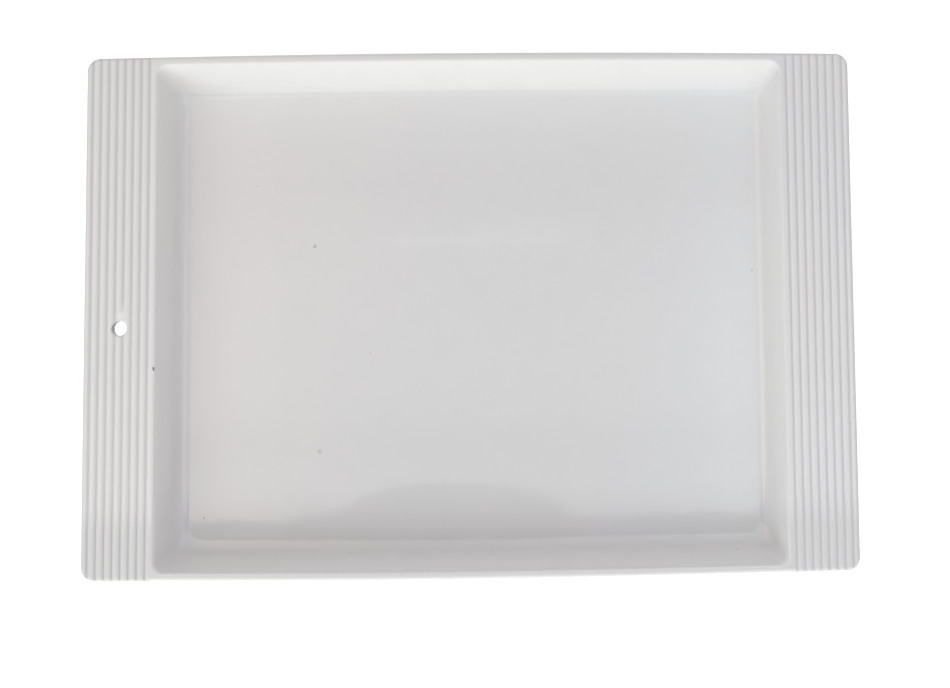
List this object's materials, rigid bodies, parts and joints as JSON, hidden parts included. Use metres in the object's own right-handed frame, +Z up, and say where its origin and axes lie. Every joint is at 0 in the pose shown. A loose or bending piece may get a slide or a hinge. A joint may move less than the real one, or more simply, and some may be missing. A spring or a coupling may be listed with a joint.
{
  "type": "developing tray",
  "caption": "Shallow glazed ceramic tray with flat reeded wings to lift it by and a hanging hole, for processing photographic sheets in liquid.",
  "frame": {"origin": "on the surface that the tray stands on, under the middle of the tray", "axes": "+X along the tray towards the plain wing, with the holed wing at -X; +Y to the back; +Z up"},
  "size_m": [0.368, 0.2526, 0.0325],
  "materials": {
    "glaze": "gloss white glaze with a few iron specks, bare on the foot ring"
  },
  "bodies": {
    "root": {"tray": "glaze"}
  },
  "joints": []
}
